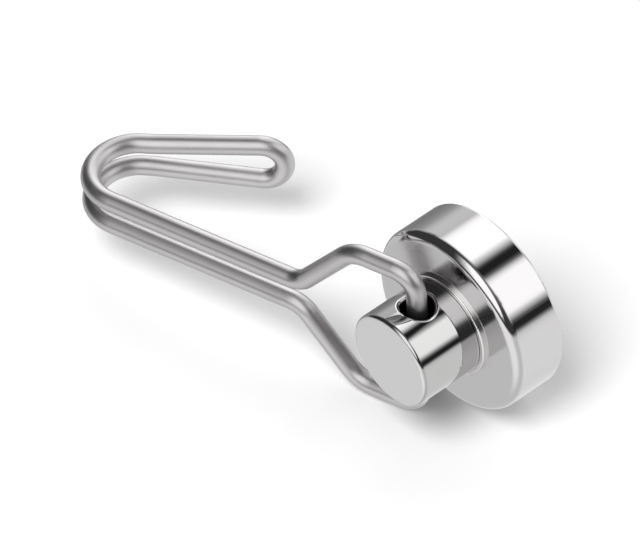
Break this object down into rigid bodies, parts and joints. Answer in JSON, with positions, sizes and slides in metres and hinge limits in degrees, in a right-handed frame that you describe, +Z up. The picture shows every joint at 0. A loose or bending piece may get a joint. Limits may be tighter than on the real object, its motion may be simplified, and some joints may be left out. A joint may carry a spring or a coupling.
{
  "type": "magnetic hook",
  "caption": "Round pot magnet with a turned neck that swivels in its back and a bent-wire hook that swings in the neck's cross hole, lying on its side.",
  "frame": {"origin": "centre of the magnet's face, on the plane of the cup's front rim", "axes": "+Y out of the magnet's face towards the steel surface it holds to, +Z up, and the wire's legs run towards -X with the hook lying on its side"},
  "size_m": [0.064, 0.0252, 0.025],
  "materials": {
    "cup_nickel": "mirror-bright nickel plating",
    "magnet_nickel": "satin nickel plating",
    "resin": "cured glue, dark and smooth",
    "washer_nickel": "bright nickel plating",
    "washer_steel": "plain zinc-plated steel",
    "neck_nickel": "mirror-bright side, matte grey end face",
    "wire_satin": "satin nickel plating"
  },
  "bodies": {
    "base": {"steel_cup": "cup_nickel", "ring_magnet": "magnet_nickel", "resin_ring": "resin", "thrust_washer": "washer_nickel"},
    "neck": {"swivel_neck": "neck_nickel", "retaining_washer": "washer_steel"},
    "hook": {"wire_hook": "wire_satin"}
  },
  "joints": [
    {"name": "neck_swivel", "type": "hinge", "parent": "base", "child": "neck", "pos_m": [0, -0.008, 0], "axis": [0, 1, 0], "continuous": true},
    {"name": "hook_swing", "type": "hinge", "parent": "neck", "child": "hook", "pos_m": [0, -0.01215, 0], "axis": [-0.061, 0, 0.9981], "range_deg": [-36, 186]}
  ]
}
